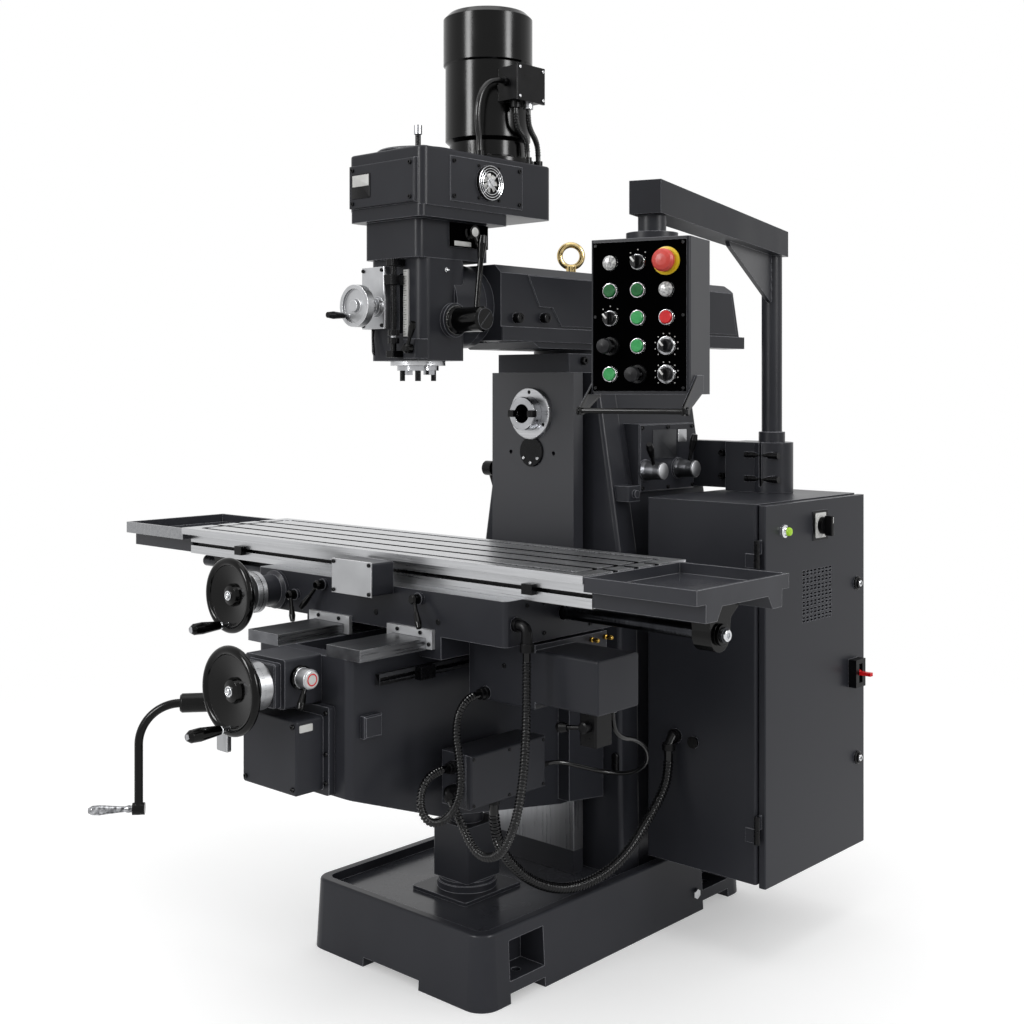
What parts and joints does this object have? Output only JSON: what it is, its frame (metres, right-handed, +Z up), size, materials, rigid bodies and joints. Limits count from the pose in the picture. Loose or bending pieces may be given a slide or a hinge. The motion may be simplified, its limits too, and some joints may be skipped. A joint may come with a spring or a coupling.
{
  "type": "turret milling machine",
  "caption": "Knee-type turret mill with a tilting vertical head on a sliding ram, a horizontal spindle, a T-slot table on saddle and knee, a wiring cabinet and a pendant on a swinging arm.",
  "frame": {"origin": "on the floor, in the machine's centre plane, under the front face of the column slideway", "axes": "+X to the operator's right along the table, +Y away from the operator, +Z up"},
  "size_m": [1.742, 1.6822, 2.068],
  "materials": {
    "grey_paint": "semi-gloss",
    "black_paint": "gloss",
    "steel": "ground",
    "silver": "satin",
    "black_plastic": "gloss",
    "red_plastic": "gloss",
    "green_plastic": "gloss",
    "hose": "semi-gloss"
  },
  "bodies": {
    "frame": {"base": "grey_paint", "column": "grey_paint", "column_fittings": "grey_paint", "screw_stand": "grey_paint", "cabinet": "grey_paint", "control_gear": "silver", "cabinet_hose": "hose"},
    "arbor_spindle": {"arbor_spindle": "steel"},
    "speed_lever_left": {"speed_lever_left": "steel"},
    "speed_lever_right": {"speed_lever_right": "steel"},
    "back_gear_lever": {"back_gear_lever": "steel"},
    "door": {"cabinet_door": "grey_paint"},
    "main_switch": {"main_switch": "black_plastic"},
    "breaker_lever": {"breaker_lever": "black_plastic"},
    "arm": {"pendant_arm": "grey_paint"},
    "pendant": {"pendant_box": "grey_paint"},
    "knee_group": {"knee": "grey_paint", "knee_covers": "grey_paint", "junction_box": "grey_paint", "knee_screws": "steel", "saddle_hoses": "hose"},
    "cross_handwheel": {"cross_handwheel": "black_paint"},
    "knee_crank": {"knee_crank": "steel"},
    "feed_knob": {"feed_knob": "black_plastic"},
    "saddle_group": {"saddle": "grey_paint", "saddle_fittings": "silver", "feed_box": "silver"},
    "feed_lever": {"feed_lever": "steel"},
    "table_handwheel": {"table_handwheel": "black_paint"},
    "table_lock_left": {"table_lock_left": "steel"},
    "table_lock_right": {"table_lock_right": "steel"},
    "saddle_lock": {"saddle_lock": "steel"},
    "table_group": {"table": "steel", "end_trays": "silver", "table_screw": "steel"},
    "turret": {"turret": "grey_paint"},
    "ram": {"ram": "grey_paint"},
    "head": {"head_casing": "grey_paint", "motor": "black_paint", "head_fittings": "silver", "motor_leads": "hose"},
    "quill": {"quill": "steel"},
    "spindle": {"spindle": "steel"},
    "quill_lever": {"quill_lever": "steel"},
    "fine_feed_wheel": {"fine_feed_wheel": "black_paint"},
    "quill_lock": {"quill_lock": "steel"},
    "range_knob": {"range_knob": "black_plastic"},
    "selector_1": {"selector_1": "black_plastic"},
    "emergency_stop": {"emergency_stop": "red_plastic"},
    "green_button_1": {"green_button_1": "green_plastic"},
    "green_button_2": {"green_button_2": "green_plastic"},
    "selector_2": {"selector_2": "black_plastic"},
    "green_button_3": {"green_button_3": "green_plastic"},
    "red_button": {"red_button": "red_plastic"},
    "joystick_1": {"joystick_1": "black_plastic"},
    "green_button_4": {"green_button_4": "green_plastic"},
    "speed_knob_1": {"speed_knob_1": "black_plastic"},
    "green_button_5": {"green_button_5": "green_plastic"},
    "joystick_2": {"joystick_2": "black_plastic"},
    "speed_knob_2": {"speed_knob_2": "black_plastic"}
  },
  "joints": [
    {"name": "arbor_spin", "type": "hinge", "parent": "frame", "child": "arbor_spindle", "pos_m": [0, -0.036, 1.173], "axis": [0, 1, 0], "continuous": true},
    {"name": "speed_left_turn", "type": "hinge", "parent": "frame", "child": "speed_lever_left", "pos_m": [0.206, 0.17, 1.041], "axis": [1, 0, 0], "range_deg": [-60, 60]},
    {"name": "speed_right_turn", "type": "hinge", "parent": "frame", "child": "speed_lever_right", "pos_m": [0.206, 0.3, 1.041], "axis": [1, 0, 0], "range_deg": [-60, 60]},
    {"name": "back_gear_turn", "type": "hinge", "parent": "frame", "child": "back_gear_lever", "pos_m": [-0.2, 0.092, 1.033], "axis": [1, 0, 0], "range_deg": [-30, 30]},
    {"name": "door_swing", "type": "hinge", "parent": "frame", "child": "door", "pos_m": [0.543, 0.106, 0.5], "axis": [0, 0, -1], "range_deg": [0, 105]},
    {"name": "main_switch_turn", "type": "hinge", "parent": "door", "child": "main_switch", "pos_m": [0.56, 0.348, 0.925], "axis": [1, 0, 0], "range_deg": [0, 90]},
    {"name": "breaker_tilt", "type": "hinge", "parent": "door", "child": "breaker_lever", "pos_m": [0.568, 0.5, 0.572], "axis": [0, 1, 0], "range_deg": [-25, 25]},
    {"name": "arm_swing", "type": "hinge", "parent": "frame", "child": "arm", "pos_m": [0.38, 0.43, 1.3], "axis": [0, 0, 1], "range_deg": [-20, 100]},
    {"name": "pendant_turn", "type": "hinge", "parent": "arm", "child": "pendant", "pos_m": [0.633, -0.387, 1.522], "axis": [0, 0, 1], "range_deg": [-60, 60]},
    {"name": "knee_lift", "type": "slide", "parent": "frame", "child": "knee_group", "axis": [0, 0, 1], "range_m": [-0.11, 0.25], "deforming": ["cabinet_hose"]},
    {"name": "cross_wheel_turn", "type": "hinge", "parent": "knee_group", "child": "cross_handwheel", "pos_m": [0, -0.851, 0.666], "axis": [0, 1, 0], "continuous": true},
    {"name": "crank_turn", "type": "hinge", "parent": "knee_group", "child": "knee_crank", "pos_m": [-0.1, -0.681, 0.605], "axis": [-0.64, -0.7684, 0], "continuous": true},
    {"name": "feed_knob_turn", "type": "hinge", "parent": "knee_group", "child": "feed_knob", "pos_m": [0.06, -0.735, 0.683], "axis": [1, 0, 0], "range_deg": [-60, 60]},
    {"name": "saddle_travel", "type": "slide", "parent": "knee_group", "child": "saddle_group", "axis": [0, -1, 0], "range_m": [-0.12, 0.15], "deforming": ["saddle_hoses"]},
    {"name": "feed_lever_tilt", "type": "hinge", "parent": "saddle_group", "child": "feed_lever", "pos_m": [0.485, -0.39, 0.596], "axis": [0, 1, 0], "range_deg": [-40, 20]},
    {"name": "table_wheel_turn", "type": "hinge", "parent": "saddle_group", "child": "table_handwheel", "pos_m": [-0.31, -0.628, 0.788], "axis": [0, 1, 0], "continuous": true},
    {"name": "table_lock_left_turn", "type": "hinge", "parent": "saddle_group", "child": "table_lock_left", "pos_m": [-0.147, -0.508, 0.815], "axis": [0, 1, 0], "range_deg": [-35, 35]},
    {"name": "table_lock_right_turn", "type": "hinge", "parent": "saddle_group", "child": "table_lock_right", "pos_m": [0.147, -0.508, 0.815], "axis": [0, 1, 0], "range_deg": [-35, 35]},
    {"name": "saddle_lock_turn", "type": "hinge", "parent": "saddle_group", "child": "saddle_lock", "pos_m": [-0.24, -0.508, 0.784], "axis": [0, 1, 0], "range_deg": [-20, 35]},
    {"name": "table_travel", "type": "slide", "parent": "saddle_group", "child": "table_group", "axis": [1, 0, 0], "range_m": [-0.165, 0.315]},
    {"name": "turret_swivel", "type": "hinge", "parent": "frame", "child": "turret", "pos_m": [0, 0.17, 1.311], "axis": [0, 0, 1], "range_deg": [-35, 35]},
    {"name": "ram_travel", "type": "slide", "parent": "turret", "child": "ram", "axis": [0, -1, 0], "range_m": [-0.1, 0.25]},
    {"name": "head_tilt", "type": "hinge", "parent": "ram", "child": "head", "pos_m": [0, -0.25, 1.41], "axis": [0, 1, 0], "range_deg": [-45, 45]},
    {"name": "quill_feed", "type": "slide", "parent": "head", "child": "quill", "axis": [0, 0, 1], "range_m": [-0.09, 0]},
    {"name": "spindle_spin", "type": "hinge", "parent": "quill", "child": "spindle", "pos_m": [0, -0.366, 1.3], "axis": [0, 0, 1], "continuous": true},
    {"name": "quill_lever_turn", "type": "hinge", "parent": "head", "child": "quill_lever", "pos_m": [0.093, -0.346, 1.375], "axis": [1, 0, 0], "range_deg": [0, 127.5]},
    {"name": "fine_wheel_turn", "type": "hinge", "parent": "head", "child": "fine_feed_wheel", "pos_m": [-0.035, -0.512, 1.403], "axis": [0, 1, 0], "continuous": true},
    {"name": "quill_lock_turn", "type": "hinge", "parent": "head", "child": "quill_lock", "pos_m": [0.066, -0.45, 1.314], "axis": [0, 1, 0], "range_deg": [-35, 35]},
    {"name": "range_knob_turn", "type": "hinge", "parent": "head", "child": "range_knob", "pos_m": [0.09, -0.303, 1.562], "axis": [1, 0, 0], "range_deg": [-45, 45]},
    {"name": "selector_1_move", "type": "hinge", "parent": "pendant", "child": "selector_1", "pos_m": [0.64415, -0.44406, 1.457], "axis": [0.2588, -0.9659, 0], "range_deg": [-45, 45]},
    {"name": "emergency_stop_move", "type": "slide", "parent": "pendant", "child": "emergency_stop", "axis": [-0.2588, 0.9659, 0], "range_m": [0, 0.005]},
    {"name": "green_button_1_move", "type": "slide", "parent": "pendant", "child": "green_button_1", "axis": [-0.2588, 0.9659, 0], "range_m": [0, 0.004], "stiffness_N_per_m": 800},
    {"name": "green_button_2_move", "type": "slide", "parent": "pendant", "child": "green_button_2", "axis": [-0.2588, 0.9659, 0], "range_m": [0, 0.004], "stiffness_N_per_m": 800},
    {"name": "selector_2_move", "type": "hinge", "parent": "pendant", "child": "selector_2", "pos_m": [0.59295, -0.45778, 1.358], "axis": [0.2588, -0.9659, 0], "range_deg": [-45, 45]},
    {"name": "green_button_3_move", "type": "slide", "parent": "pendant", "child": "green_button_3", "axis": [-0.2588, 0.9659, 0], "range_m": [0, 0.004], "stiffness_N_per_m": 800},
    {"name": "red_button_move", "type": "slide", "parent": "pendant", "child": "red_button", "axis": [-0.2588, 0.9659, 0], "range_m": [0, 0.004], "stiffness_N_per_m": 800},
    {"name": "joystick_1_move", "type": "hinge", "parent": "pendant", "child": "joystick_1", "pos_m": [0.59295, -0.45778, 1.308], "axis": [0.9659, 0.2588, 0], "range_deg": [-15, 15], "stiffness_Nm_per_rad": 0.3},
    {"name": "green_button_4_move", "type": "slide", "parent": "pendant", "child": "green_button_4", "axis": [-0.2588, 0.9659, 0], "range_m": [0, 0.004], "stiffness_N_per_m": 800},
    {"name": "speed_knob_1_move", "type": "hinge", "parent": "pendant", "child": "speed_knob_1", "pos_m": [0.69631, -0.43008, 1.308], "axis": [0.2588, -0.9659, 0], "range_deg": [-135, 135]},
    {"name": "green_button_5_move", "type": "slide", "parent": "pendant", "child": "green_button_5", "axis": [-0.2588, 0.9659, 0], "range_m": [0, 0.004], "stiffness_N_per_m": 800},
    {"name": "joystick_2_move", "type": "hinge", "parent": "pendant", "child": "joystick_2", "pos_m": [0.64415, -0.44406, 1.258], "axis": [0.9659, 0.2588, 0], "range_deg": [-15, 15], "stiffness_Nm_per_rad": 0.3},
    {"name": "speed_knob_2_move", "type": "hinge", "parent": "pendant", "child": "speed_knob_2", "pos_m": [0.69631, -0.43008, 1.258], "axis": [0.2588, -0.9659, 0], "range_deg": [-135, 135]}
  ],
  "couplings": [
    {"joint": "quill_lever_turn", "follows": "quill_feed", "rad_per_m": -24.7}
  ]
}
